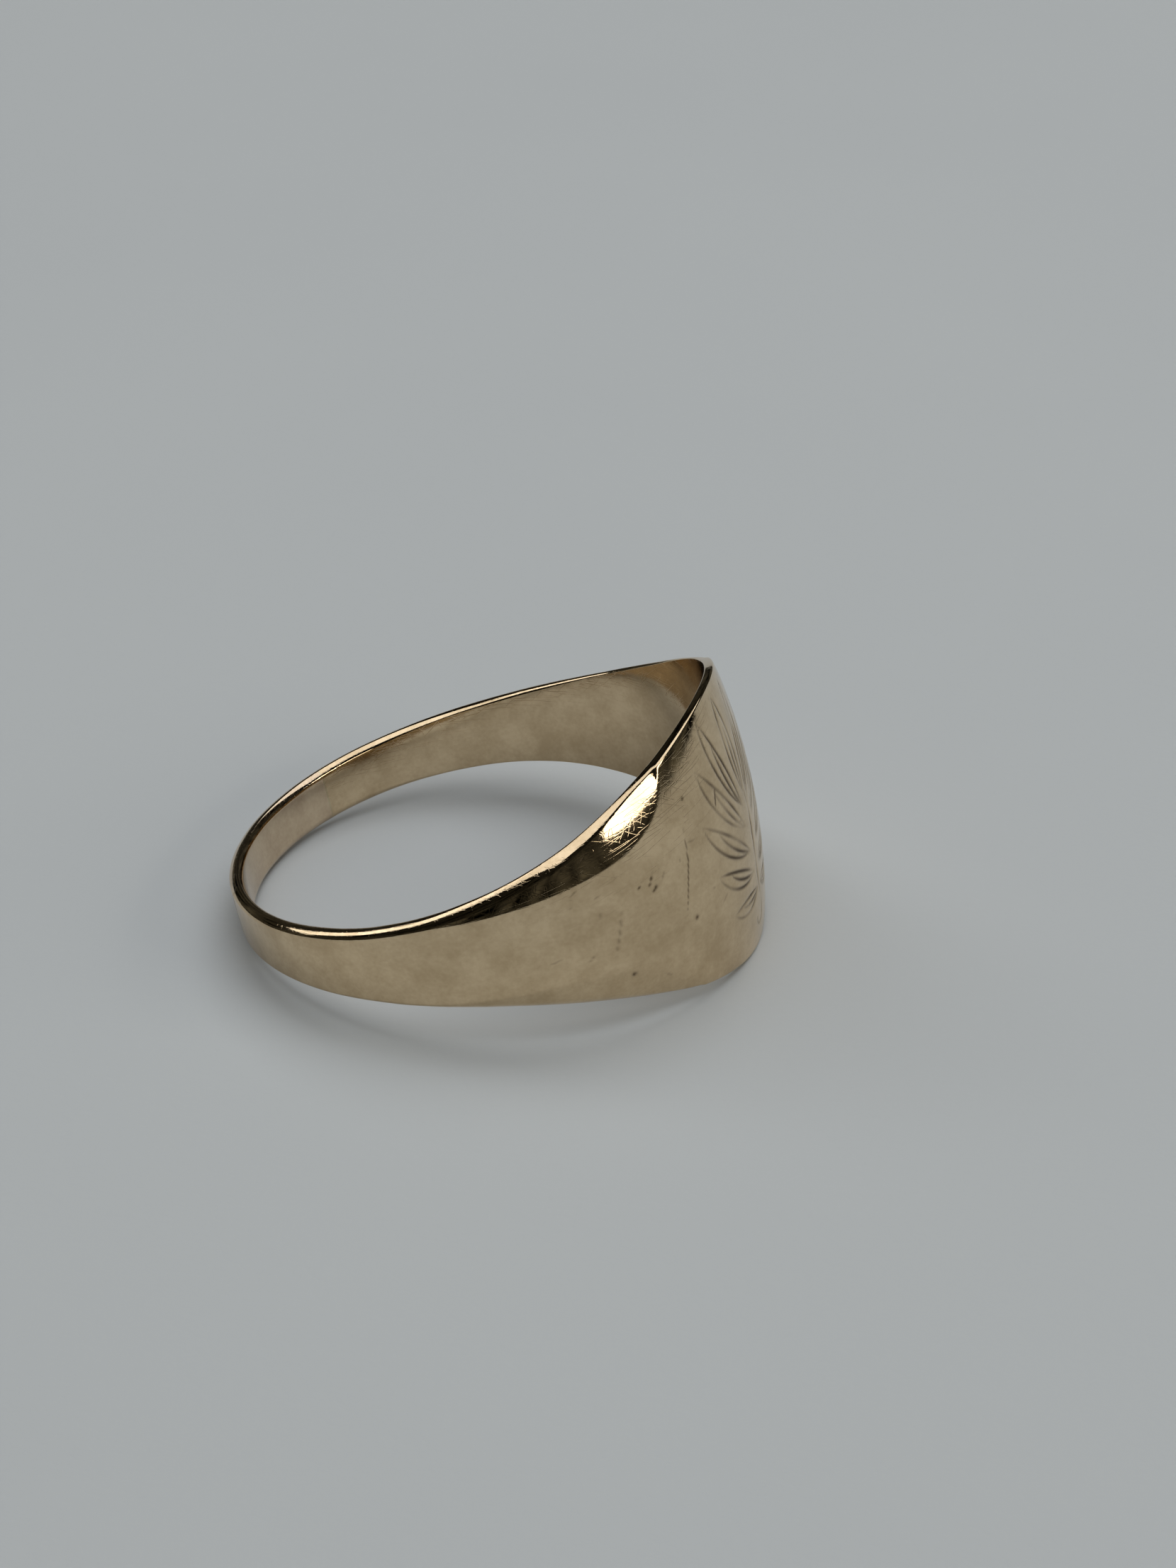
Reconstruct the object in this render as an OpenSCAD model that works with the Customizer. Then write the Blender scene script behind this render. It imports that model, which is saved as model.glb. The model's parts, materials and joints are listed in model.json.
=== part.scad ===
// Lightweight gold signet ring, lying on its side as it rests on a table.
// The struck blank carries the oval face, both shoulders and the two arms of the band.
// A short sizing piece closes the band behind the finger, held by two solder seams.
// Units are millimetres. The origin is the centre of the finger bore, and +Z is up.

/* [Finger bore] */
// Inside diameter, which sets the finger size
bore_d = 18.5; // [14:0.1:23]

/* [Head] */
// Width of the head along the finger
head_w = 10.5; // [7:0.1:15]
// Wall in the middle of the face
head_wall = 0.86; // [0.7:0.02:1.6]
// Radius of the gentle crown along the finger
crown_r = 25; // [18:1:80]
// Width of the border that is worn down along the head's rim
rim_border_w = 0.5; // [0.2:0.05:1]

/* [Shoulders] */
// Distance over which the head's width dies away into the band
flare_len = 5.6; // [3:0.1:8]
// Arc from the middle of the face to the line that the shoulder crease climbs towards
crease_start = 3.4; // [2.4:0.1:5]
// How widely the crease sweeps round between the face and the band
crease_sweep = 3.4; // [1:0.1:5]
// Slope of the bevel above the crease, in degrees
bevel_angle = 20; // [8:1:26]

/* [Band] */
// Width that the band narrows to behind the finger
band_w = 1.7; // [1.4:0.1:4]
// Wall behind the finger
band_wall = 0.56; // [0.45:0.02:1.4]
// Width of the unbevelled middle of the band
band_flat_w = 2.4; // [1.4:0.1:4]
// Least wall left at any edge
edge_wall = 0.14; // [0.08:0.01:0.3]

/* [Sizing piece] */
// Length of the sizing piece round the bore
sizing_len = 9.6; // [3:0.1:14]
// Thickness of each solder seam
seam_w = 0.06; // [0.04:0.01:0.2]

/* [Hidden] */
$fn = 96;
gold = "#b8a06a";
solder = "#c9bd94";

bore_r = bore_d / 2;
facet_angle = 2.5;
bore_overcut = 1;
least_border = 0.02;
arc_per_degree = bore_r * PI / 180;

// Angles are measured round the bore from the middle of the face.
half_sizing = sizing_len / 2 / arc_per_degree;
half_seam = seam_w / 2 / arc_per_degree;
seam_at = 180 - half_sizing;

// How much of the head is left at an angle, from 1 at the face to almost nothing behind the finger
function flare(a) = exp(-bore_r * (1 - cos(a)) / flare_len);

// Half the ring's width along the finger at an angle
function half_w(a) = band_w / 2 + (head_w - band_w) / 2 * flare(a);

// Wall in the ring's middle plane at an angle
function wall(a) = (head_wall + band_wall) / 2 + (head_wall - band_wall) / 2 * cos(a);

// Arc from the middle of the face, the short way round
function arc_from_face(a) = arc_per_degree * (a > 180 ? 360 - a : abs(a));

// Height of the crease above the middle plane, a hyperbola that leaves the ring at the face
function crease_z(a) =
    let (past = arc_from_face(a) - crease_start)
    past <= 0 ? half_w(a) : band_flat_w / 2 + crease_sweep / past;

// Height where the slope to the rim starts, at the crease or at the worn border
function bevel_z(a) = min(crease_z(a), half_w(a) - max(least_border, rim_border_w * flare(a)));

// Outer radius at an angle and a height, crowned and then bevelled
function outer_r(a, z) =
    let (
        crowned = wall(a) - z * z / 2 / crown_r,
        bevelled = crowned - max(0, abs(z) - bevel_z(a)) * tan(bevel_angle)
    )
    bore_r + max(edge_wall, bevelled);

// Heights of a section's outer points, from the lower edge to the upper one
function section_z(a) =
    let (h = half_w(a), c = bevel_z(a))
    [-h, -(h + c) / 2, -c, -c * 2 / 3, -c / 3, 0, c / 3, c * 2 / 3, c, (h + c) / 2, h];

// One closed section as [radius, height] pairs, reaching into the bore so that the bore cuts it
function section(a) = concat(
    [[bore_r - bore_overcut, -half_w(a)]],
    [for (z = section_z(a)) [outer_r(a, z), z]],
    [[bore_r - bore_overcut, half_w(a)]]
);

// Solid stretch of the ring's wall between two angles
module wall_stretch(from, to) {
    steps = ceil((to - from) / facet_angle);
    angles = [for (i = [0:steps]) from + (to - from) * i / steps];
    per = len(section(from));
    points = [for (a = angles) for (p = section(a)) [p[0] * cos(a), p[0] * sin(a), p[1]]];
    skin = [
        for (i = [0:steps - 1])
            for (j = [0:per - 1])
                let (k = (j + 1) % per, near = i * per, far = near + per)
                each [[near + j, near + k, far + k], [near + j, far + k, far + j]]
    ];
    start_cap = [[for (j = [per - 1:-1:0]) j]];
    end_cap = [[for (j = [0:per - 1]) steps * per + j]];
    polyhedron(points = points, faces = concat(skin, start_cap, end_cap), convexity = 6);
}

// Upright wedge about the bore's axis, with a flat side at each angle
module wedge(from, to) {
    corners = max(2, ceil((to - from) / 30));
    rim = [for (i = [0:corners]) from + (to - from) * i / corners];
    linear_extrude(height = 2 * head_w, center = true)
        polygon(concat([[0, 0]], [for (a = rim) 2 * bore_r * [cos(a), sin(a)]]));
}

// A stretch of the ring with flat ends for soldering and the true round bore through it
module ring_stretch(from, to) {
    difference() {
        intersection() {
            wall_stretch(from - facet_angle, to + facet_angle);
            wedge(from, to);
        }
        cylinder(h = head_w + 2 * bore_overcut, r = bore_r, center = true);
    }
}

// Lays the ring on its side, on the lower edges of the head and of the sizing piece
module at_rest() {
    head_edge = [outer_r(0, half_w(0)), half_w(0)];
    back_edge = [outer_r(180, half_w(180)), half_w(180)];
    lean = atan((head_edge[1] - back_edge[1]) / (head_edge[0] + back_edge[0]));
    rotate([0, -lean, 0])
        children();
}

// Struck face, shoulders and arms, bent round the finger from one flat blank
module signet_blank() {
    color(gold)
        at_rest()
            ring_stretch(half_seam - seam_at, seam_at - half_seam);
}

// Short piece let into the back of the band when the ring was sized
module sizing_piece() {
    color(gold)
        at_rest()
            ring_stretch(seam_at + half_seam, 360 - seam_at - half_seam);
}

// Seam on the side of the hand that faces -Y when the ring lies down
module solder_seam_near() {
    color(solder)
        at_rest()
            ring_stretch(360 - seam_at - half_seam, 360 - seam_at + half_seam);
}

// Seam on the opposite side
module solder_seam_far() {
    color(solder)
        at_rest()
            ring_stretch(seam_at - half_seam, seam_at + half_seam);
}

signet_blank();
sizing_piece();
solder_seam_near();
solder_seam_far();
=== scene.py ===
"""A light, worn 9 carat gold signet ring lying on its side on white paper.

The ring is four pieces: the struck blank with the face, shoulders and arms, the short sizing piece
behind the finger, and the two solder seams between them. Every form below is in the ring's own frame,
in millimetres: a turn is an angle round the bore from the middle of the face, and a height is measured
along the bore's axis from the ring's middle plane. The finished pieces are laid over by the lean of the
frame's finger bore, and stand in metres.
"""

import json
import logging
import math
import random
from dataclasses import dataclass, field
from enum import Enum
from typing import Callable

import bmesh
import bpy
import numpy as np
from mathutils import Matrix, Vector


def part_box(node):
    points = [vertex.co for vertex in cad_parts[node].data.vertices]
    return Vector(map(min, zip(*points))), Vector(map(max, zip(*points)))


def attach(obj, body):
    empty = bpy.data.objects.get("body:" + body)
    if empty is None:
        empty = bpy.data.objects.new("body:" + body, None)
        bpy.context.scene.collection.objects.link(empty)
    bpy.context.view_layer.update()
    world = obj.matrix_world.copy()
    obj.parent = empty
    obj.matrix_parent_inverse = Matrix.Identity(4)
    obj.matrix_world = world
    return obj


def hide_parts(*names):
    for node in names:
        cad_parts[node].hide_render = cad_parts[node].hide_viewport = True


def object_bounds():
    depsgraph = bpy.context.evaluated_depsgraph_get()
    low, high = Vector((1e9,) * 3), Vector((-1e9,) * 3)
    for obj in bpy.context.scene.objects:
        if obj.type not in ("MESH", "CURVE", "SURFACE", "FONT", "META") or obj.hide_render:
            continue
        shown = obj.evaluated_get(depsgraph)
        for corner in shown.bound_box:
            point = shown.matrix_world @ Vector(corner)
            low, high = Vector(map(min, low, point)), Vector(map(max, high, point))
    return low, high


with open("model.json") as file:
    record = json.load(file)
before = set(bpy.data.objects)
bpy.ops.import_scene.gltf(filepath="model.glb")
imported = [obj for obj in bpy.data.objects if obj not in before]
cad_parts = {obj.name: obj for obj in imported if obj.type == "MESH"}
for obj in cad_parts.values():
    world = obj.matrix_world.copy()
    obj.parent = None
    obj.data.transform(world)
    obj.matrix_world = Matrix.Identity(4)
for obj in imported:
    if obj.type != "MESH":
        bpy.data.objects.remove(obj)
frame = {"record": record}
cad_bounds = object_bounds()

log = logging.getLogger("signet_ring")

METRES_PER_MM = 0.001
# Corners of the mesh that turn by less than this are shaded as one smooth surface.
SMOOTH_UNDER = math.radians(50)
Array = np.ndarray
Point = tuple[float, float]
Colour = tuple[float, float, float, float]


def smooth_step(low: float, high: float, value: Array) -> Array:
    """Eases from 0 at low to 1 at high.

    Args:
        low: Value at which the result leaves 0.
        high: Value at which the result reaches 1.
        value: Values to ease.

    Returns:
        One number from 0 to 1 for each value.
    """
    share = np.clip((value - low) / (high - low), 0, 1)
    return share * share * (3 - 2 * share)


def soft_min(first: Array, second: Array, blend: float) -> Array:
    """Gives the lesser of two values, rounded off where they cross.

    Args:
        first: One set of values.
        second: The other set.
        blend: Width of the rounding, in the values' own unit.

    Returns:
        The blended lesser values.
    """
    return -blend * np.logaddexp(-first / blend, -second / blend)


def degrees_off(turn: Array) -> Array:
    """Gives the angles between turns and the middle of the face.

    Args:
        turn: Angles round the bore, in radians.

    Returns:
        Angles the short way round, from 0 to 180 degrees.
    """
    return np.degrees(np.abs(np.arctan2(np.sin(turn), np.cos(turn))))


# --------------------------------------------------------------------------------------------
# Form of the ring
# --------------------------------------------------------------------------------------------


# The crease climbs without end towards its line, so no arc nearer to the line than this is used, in mm.
NEAREST_TO_CREASE = 0.05
# A slope is measured over this height to either side of a place, in mm.
SLOPE_STEP = 0.002


@dataclass(frozen=True)
class Ripples:
    """Low hammering and wear left in a surface, as a sum of waves that close round the ring.

    Attributes:
        seed: Seed of the draws.
        count: Number of waves.
        shortest: Shortest wave, in mm.
        longest: Longest wave, in mm.
        height: Height of the whole, in mm or as a plain share.
    """

    seed: int
    count: int
    shortest: float
    longest: float
    height: float

    def at(self, turn: Array, height: Array, radius: float) -> Array:
        """Height of the ripples at places on the surface.

        Args:
            turn: Angles round the bore.
            height: Heights along the bore.
            radius: Radius at which the wave lengths hold.

        Returns:
            One height for each place.
        """
        draws = random.Random(self.seed)
        total = np.zeros_like(turn)
        for _ in range(self.count):
            length = self.shortest * (self.longest / self.shortest) ** draws.random()
            heading = draws.uniform(0, math.pi)
            round_bore = round(2 * math.pi * radius * math.cos(heading) / length)
            along_bore = 2 * math.pi * math.sin(heading) / length
            phase = draws.uniform(0, 2 * math.pi)
            total += length / self.longest * np.sin(round_bore * turn + along_bore * height + phase)
        return self.height * total / math.sqrt(self.count)


@dataclass(frozen=True)
class RingForm:
    """Surface laws of the whole ring, in mm.

    Attributes:
        bore_r: Radius of the finger bore.
        lean: Angle by which the ring leans over on the table.
        head_w: Width of the head along the finger.
        band_w: Width that the band narrows to.
        head_wall: Wall in the middle of the face.
        band_wall: Wall behind the finger.
        crown_r: Radius of the crown along the finger.
        flare_len: Distance over which the head's width dies away.
        crease_start: Arc from the face to the line that the crease climbs towards.
        crease_sweep: How widely the crease sweeps round.
        band_flat_w: Width of the unbevelled middle of the band.
        crease_soft: Distance over which wear has rounded the crease.
        crease_blend: Height over which the crease gives way to the border along the rim.
        border_w: Least width of the slope along the rim.
        steepest: Greatest slope of the bevel, as a rise over a run.
        steepest_blend: Wall over which that greatest slope takes over.
        edge_wear: How far wear has lowered the edge of the face.
        edge_wear_power: How closely that wear keeps to the edge.
        thin_rim: Wall at the rim of the head.
        thick_rim: Wall at the rim of the arms.
        rim_swell: Turns, in degrees, between which the rim thickens.
        corner_rim: Extra wall at the rim where the crease runs out into it.
        corner_fade: Turns, in degrees, between which that extra wall dies away.
        bulge: Share by which the bevel steepens from its crease to its rim.
        head_rounding: Height over which the rim of the face is rounded off outside.
        shoulder_rounding: The same for the shoulders, where fingers rub most.
        band_rounding: The same behind the finger.
        rounding_share: Greatest share of the rim's wall that its rounding may take in height.
        rounding_blend: Height over which that greatest share takes over.
        rounding_swell: Turns, in degrees, between which the face's sharper rim gives way.
        fullness: How square the outer rounding is on the face, and how square it is past that.
        inner_fullness: How square the inner rounding is.
        eased_wall: Share of the rim's wall that is rounded off inside, behind the finger.
        eased_less: How much smaller that share is on the face.
        eased_run: Length of the inner rounding along the finger, as a share of its depth.
        eased_more: How much greater that share is behind the finger.
        back_ease: Turns, in degrees, between which the inner rounding grows long.
        ripples: Hammering left in the outer surface.
        wobble: Unevenness of the rim.
    """

    bore_r: float
    lean: float
    head_w: float = 10.5
    band_w: float = 1.7
    head_wall: float = 0.86
    band_wall: float = 0.56
    crown_r: float = 25.0
    flare_len: float = 5.6
    crease_start: float = 3.4
    crease_sweep: float = 3.4
    band_flat_w: float = 2.4
    crease_soft: float = 0.035
    crease_blend: float = 0.06
    border_w: float = 0.06
    steepest: float = 0.4
    steepest_blend: float = 0.015
    edge_wear: float = 0.03
    edge_wear_power: int = 14
    thin_rim: float = 0.22
    thick_rim: float = 0.42
    rim_swell: Point = (36.0, 58.0)
    corner_rim: float = 0.085
    corner_fade: Point = (27.0, 37.0)
    bulge: float = 0.15
    head_rounding: float = 0.07
    shoulder_rounding: float = 0.6
    band_rounding: float = 0.2
    rounding_share: float = 0.95
    rounding_blend: float = 0.02
    rounding_swell: Point = (26.0, 46.0)
    fullness: Point = (0.86, 0.44)
    inner_fullness: float = 0.4
    eased_wall: float = 0.42
    eased_less: float = 0.28
    eased_run: float = 0.55
    eased_more: float = 0.85
    back_ease: Point = (112.0, 150.0)
    ripples: Ripples = Ripples(seed=11, count=26, shortest=0.7, longest=4.5, height=0.0035)
    wobble: Ripples = Ripples(seed=5, count=12, shortest=0.8, longest=6.0, height=0.012)

    @classmethod
    def from_frame(cls, record: dict) -> "RingForm":
        """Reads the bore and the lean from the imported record's finger bore.

        Args:
            record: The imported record.

        Returns:
            The ring's form.
        """
        bore = next(mount for mount in record["mounts"] if mount["name"] == "finger_bore")
        across, _, up = bore["axis"]
        return cls(bore_r=bore["dims"]["r_mm"], lean=math.atan2(-across, up))

    def flare(self, turn: Array) -> Array:
        """Share of the head that is left at a turn."""
        return np.exp(-self.bore_r * (1 - np.cos(turn)) / self.flare_len)

    def half_width(self, turn: Array) -> Array:
        """Half the width along the finger, with the rim's unevenness."""
        even = self.band_w / 2 + (self.head_w - self.band_w) / 2 * self.flare(turn)
        return even + self.wobble.at(turn, np.zeros_like(turn), self.bore_r)

    def crowned(self, turn: Array, height: Array) -> Array:
        """Wall of the crowned surface before it is bevelled.

        Args:
            turn: Angles round the bore.
            height: Heights along the bore.

        Returns:
            One wall for each place.
        """
        middle = (self.head_wall + self.band_wall) / 2
        swing = (self.head_wall - self.band_wall) / 2
        nearness = (height / self.half_width(turn)) ** self.edge_wear_power
        worn = self.edge_wear * self.flare(turn) * nearness
        return middle + swing * np.cos(turn) - height**2 / 2 / self.crown_r - worn

    def bevel_from(self, turn: Array) -> Array:
        """Height where the slope to the rim starts, at the crease or at the worn border.

        Args:
            turn: Angles round the bore.

        Returns:
            One height for each turn.
        """
        arc = self.bore_r * np.radians(degrees_off(turn))
        past = np.maximum(arc - self.crease_start, NEAREST_TO_CREASE)
        crease = self.band_flat_w / 2 + self.crease_sweep / past
        return soft_min(crease, self.half_width(turn) - self.border_w, self.crease_blend)

    def rim_wall(self, turn: Array) -> Array:
        """Wall left at the rim, before its edges are rounded.

        Args:
            turn: Angles round the bore.

        Returns:
            One wall for each turn.
        """
        half = self.half_width(turn)
        edge = self.crowned(turn, half)
        growth = smooth_step(*self.rim_swell, degrees_off(turn))
        corner = self.corner_rim * (1 - smooth_step(*self.corner_fade, degrees_off(turn)))
        swollen = self.thin_rim + corner + (self.thick_rim - self.thin_rim) * growth
        steep = self.steepest * (half - self.bevel_from(turn))
        return edge - soft_min(edge - swollen, steep, self.steepest_blend)

    def outer_radius(self, turn: Array, height: Array) -> Array:
        """Outer radius of the smooth form.

        Args:
            turn: Angles round the bore.
            height: Heights along the bore.

        Returns:
            One radius for each place.
        """
        start = self.bevel_from(turn)
        run = self.half_width(turn) - start
        drop = self.crowned(turn, self.half_width(turn)) - self.rim_wall(turn)
        past = self.crease_soft * np.logaddexp(0, (np.abs(height) - start) / self.crease_soft) / run
        # The bevel steepens towards its rim, so part of its drop is a square law.
        bevel = drop * ((1 - self.bulge) * past + self.bulge * past**2)
        return self.bore_r + self.crowned(turn, height) - bevel

    def rounding(self, turn: Array) -> Array:
        """Height over which the rim is rounded off outside.

        Args:
            turn: Angles round the bore.

        Returns:
            One height for each turn.
        """
        wanted = self.band_rounding + (self.shoulder_rounding - self.band_rounding) * self.flare(turn)
        full = soft_min(wanted, self.rounding_share * self.rim_wall(turn), self.rounding_blend)
        swell = smooth_step(*self.rounding_swell, degrees_off(turn))
        return self.head_rounding + (full - self.head_rounding) * swell

    def squareness(self, turn: Array) -> Array:
        """How square the outer rounding is, from 0 for a chamfer towards 1 for a sharp corner."""
        face, rest = self.fullness
        return face + (rest - face) * smooth_step(*self.rounding_swell, degrees_off(turn))

    def easing(self, turn: Array) -> tuple[Array, Array]:
        """How far the rim is rounded off inside.

        Args:
            turn: Angles round the bore.

        Returns:
            Lengths through the wall, and lengths along the finger.
        """
        through = self.rim_wall(turn) * (self.eased_wall - self.eased_less * self.flare(turn))
        longer = smooth_step(*self.back_ease, degrees_off(turn))
        return through, through * (self.eased_run + self.eased_more * longer)

    def slope(self, turn: Array, height: Array) -> Array:
        """Angle by which the outer surface leans in towards the rim.

        Args:
            turn: Angles round the bore.
            height: Heights along the bore.

        Returns:
            One angle for each place, in radians.
        """
        above, below = height + SLOPE_STEP, height - SLOPE_STEP
        rise = self.outer_radius(turn, above) - self.outer_radius(turn, below)
        return np.arctan(-rise / (2 * SLOPE_STEP))

    def laid_down(self, turn: Array, radius: Array, height: Array) -> Array:
        """Places points of the ring's own frame in the row frame.

        Args:
            turn: Angles round the bore.
            radius: Distances from the bore's axis, in mm.
            height: Heights along the bore, in mm.

        Returns:
            Points in metres, one row each.
        """
        out, side = radius * np.cos(turn), radius * np.sin(turn)
        cos, sin = math.cos(self.lean), math.sin(self.lean)
        laid = np.stack([out * cos - height * sin, side, out * sin + height * cos], axis=-1)
        return laid * METRES_PER_MM

    def turn_of(self, node: str) -> float:
        """Turn at which a CAD node stands, from the middle of its box.

        Args:
            node: Name of the node.

        Returns:
            The turn, in radians.
        """
        low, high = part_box(node)
        middle = (low + high) / 2
        out = middle.x * math.cos(self.lean) + middle.z * math.sin(self.lean)
        return math.atan2(middle.y, out)


# --------------------------------------------------------------------------------------------
# Cuts and marks in the surface
# --------------------------------------------------------------------------------------------


# A line whose ends fall together counts as this long, squared, in mm2.
NO_LENGTH = 1e-12
# A cut thins out towards its ends, but never below the square root of this share of its width.
THINNEST_END = 0.08
# Straight pieces in the sprig's stem and in its curled foot.
STEM_PIECES = 20
FOOT_PIECES = 12


@dataclass(frozen=True)
class Groove:
    """One cut or scratch, as a curve on the developed face.

    Attributes:
        points: Corners of the line, as arc from the face and height, in mm.
        half_width: Half the groove's width, in mm.
        depth: Depth of the groove, in mm.
        grime: How much old polish and skin oil lies in it, from 0 to 1.
    """

    points: tuple[Point, ...]
    half_width: float
    depth: float
    grime: float

    def cut(self, arc: Array, height: Array) -> Array:
        """How far into the groove each place lies, from 0 outside to 1 at the bottom.

        Args:
            arc: Arcs from the face.
            height: Heights along the bore.

        Returns:
            One share for each place.
        """
        nearest = np.full(arc.shape, np.inf)
        along = np.zeros(arc.shape)
        count = len(self.points) - 1
        for index, (start, end) in enumerate(zip(self.points, self.points[1:])):
            run = np.subtract(end, start)
            length = float(run @ run) or NO_LENGTH
            share = np.clip(((arc - start[0]) * run[0] + (height - start[1]) * run[1]) / length, 0, 1)
            gap = np.hypot(arc - start[0] - share * run[0], height - start[1] - share * run[1])
            along = np.where(gap < nearest, (index + share) / count, along)
            nearest = np.minimum(nearest, gap)
        swell = np.sqrt(np.clip(4 * along * (1 - along), THINNEST_END, 1))
        return np.clip(1 - (nearest / (self.half_width * swell)) ** 2, 0, 1) * swell


def bent(start: Point, lead: Point, follow: Point, end: Point, pieces: int = 14) -> tuple[Point, ...]:
    """Draws a cubic curve.

    Args:
        start: First point.
        lead: Handle that the curve leaves towards.
        follow: Handle that the curve arrives from.
        end: Last point.
        pieces: Number of straight pieces.

    Returns:
        The curve's points.
    """
    found = []
    for index in range(pieces + 1):
        t = index / pieces
        weights = ((1 - t) ** 3, 3 * t * (1 - t) ** 2, 3 * t * t * (1 - t), t**3)
        found.append(tuple(float(np.dot(weights, axis)) for axis in zip(start, lead, follow, end)))
    return tuple(found)


@dataclass(frozen=True)
class Leaf:
    """One leaf of the engraved sprig.

    Attributes:
        base: Where it leaves the stem.
        tip: Its point.
        belly: Half its breadth.
        curl: How far its middle bows to the left of the line from base to tip.
        rib_reach: Share of the leaf that its midrib runs along.
        fullness: How much further out a curve's handles lie than the curve itself.
        widest: Shares of the way to the tip at which the two handles stand.
    """

    base: Point
    tip: Point
    belly: float
    curl: float = 0.0
    rib_reach: float = 0.72
    fullness: float = 1.35
    widest: Point = (0.28, 0.74)

    def edges(self) -> list[tuple[Point, ...]]:
        """Draws the leaf's two edges and its midrib.

        Returns:
            Three lines from the base towards the tip.
        """
        base, tip = np.array(self.base), np.array(self.tip)
        run = tip - base
        left = np.array([-run[1], run[0]]) / np.hypot(*run)
        sides = []
        for breadth, reach in ((self.belly, 1.0), (-self.belly, 1.0), (0.0, self.rib_reach)):
            bow = left * (self.curl + breadth * self.fullness)
            end = base + run * reach
            lead, follow = (base + run * along * reach + bow for along in self.widest)
            sides.append(bent(tuple(base), tuple(lead), tuple(follow), tuple(end)))
        return sides


@dataclass(frozen=True)
class Sprig:
    """Plain leafy sprig, cut by hand into the face and nearly worn away.

    Attributes:
        leaves: Its leaves.
        stem: First point, two handles and last point of its stem.
        foot: The same for the curl at the stem's foot.
        half_width: Half the width of a cut, in mm.
        depth: Depth of a fresh cut, in mm.
        left: Share of its cuts that is left over the whole sprig.
        least_left: Share that is left where wear is worst.
        wear: Patches in which wear has taken more or less of the cuts away.
    """

    leaves: tuple[Leaf, ...] = (
        Leaf((0.1, 0.9), (0.1, 4.85), 0.36, 0.05),
        Leaf((-0.35, 0.6), (-1.95, 4.8), 0.34, 0.3),
        Leaf((0.4, 0.6), (2.0, 4.75), 0.34, -0.3),
        Leaf((-0.5, -0.2), (-3.1, 3.4), 0.36, 0.35),
        Leaf((0.5, -0.2), (3.1, 3.3), 0.36, -0.35),
        Leaf((-0.45, -1.2), (-3.6, 1.4), 0.36, 0.35),
        Leaf((0.45, -1.2), (3.6, 1.3), 0.36, -0.35),
        Leaf((-0.35, -2.1), (-3.3, -0.8), 0.32, 0.3),
        Leaf((0.35, -2.1), (3.3, -0.9), 0.32, -0.3),
        Leaf((-0.1, -2.9), (-2.6, -2.8), 0.28, 0.25),
        Leaf((0.3, -2.9), (2.6, -2.9), 0.28, -0.25),
    )
    stem: tuple[Point, ...] = ((0.25, -3.5), (-0.4, -1.6), (0.5, -0.4), (0.12, 1.2))
    foot: tuple[Point, ...] = ((0.25, -3.5), (0.75, -4.7), (-0.75, -4.6), (-0.35, -3.9))
    half_width: float = 0.09
    depth: float = 0.034
    left: float = 0.74
    least_left: float = 0.12
    wear: Ripples = Ripples(seed=23, count=14, shortest=1.0, longest=3.6, height=0.55)

    def grooves(self) -> list[Groove]:
        """Lists the sprig's cuts, with the stem and its curled foot.

        Returns:
            The cuts, each full of grime.
        """
        lines = [line for leaf in self.leaves for line in leaf.edges()]
        lines.append(bent(*self.stem, STEM_PIECES))
        lines.append(bent(*self.foot, FOOT_PIECES))
        return [Groove(line, self.half_width, self.depth, 1.0) for line in lines]


@dataclass(frozen=True)
class Pit:
    """One small pit.

    Attributes:
        place: Arc from the face and height, in mm.
        radius: Its radius, in mm.
        depth: Its depth, in mm.
        grime: How much old polish and skin oil lies in it, from 0 to 1.
    """

    place: Point
    radius: float
    depth: float
    grime: float = 0.9


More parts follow.
